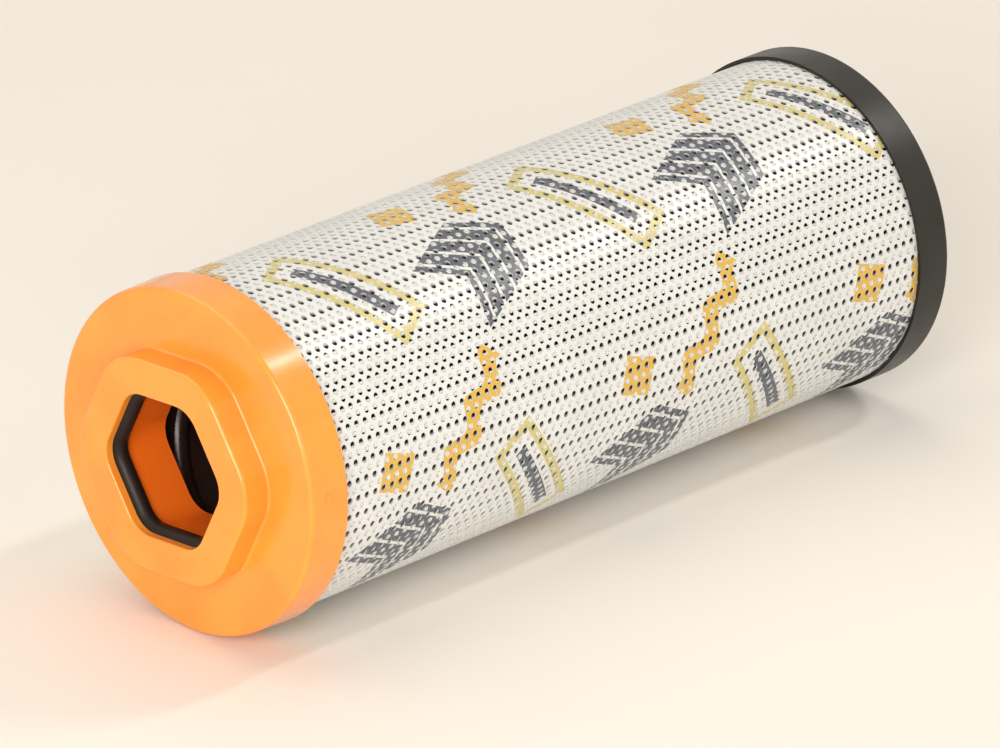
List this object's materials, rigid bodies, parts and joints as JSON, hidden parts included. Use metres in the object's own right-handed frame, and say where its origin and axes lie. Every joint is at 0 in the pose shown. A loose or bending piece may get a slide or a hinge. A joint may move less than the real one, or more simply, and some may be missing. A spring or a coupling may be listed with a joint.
{
  "type": "hydraulic filter element",
  "caption": "Round pleated return-line filter element with a perforated sleeve, a flat closed cap and an open cap with a sealed hexagonal mouth.",
  "frame": {"origin": "centre of the closed cap's flat underside, on which the element stands", "axes": "+Z along the element's axis towards the open cap; +X through a flat of the hexagonal mouth, on the side of the sleeve's lap"},
  "size_m": [0.095, 0.095, 0.2459],
  "materials": {
    "orange_moulding": "glossy warm orange moulding",
    "seal_rubber": "satin black nitrile rubber",
    "black_moulding": "satin black-brown moulding",
    "core_black": "satin black wound strip",
    "sleeve_sheet": "satin white printed sheet",
    "lap_glue": "clear amber glue film",
    "potting": "cured casting resin",
    "support_mesh": "off-white woven plastic mesh",
    "fleece": "white spunbonded fleece",
    "media": "white glass fibre felt",
    "clip_metal": "plain zinc-coated strip"
  },
  "bodies": {
    "root": {"open_end_cap": "orange_moulding", "hex_seal": "seal_rubber", "closed_end_cap": "black_moulding", "core_tube": "core_black", "outer_sleeve": "sleeve_sheet", "sleeve_lap_glue": "lap_glue", "lower_potting_ring": "potting", "upper_potting_ring": "potting", "outer_support_mesh": "support_mesh", "outer_fleece": "fleece", "glass_fibre_media": "media", "inner_fleece": "fleece", "inner_support_mesh": "support_mesh", "pleat_seam_clip": "clip_metal"}
  },
  "joints": []
}
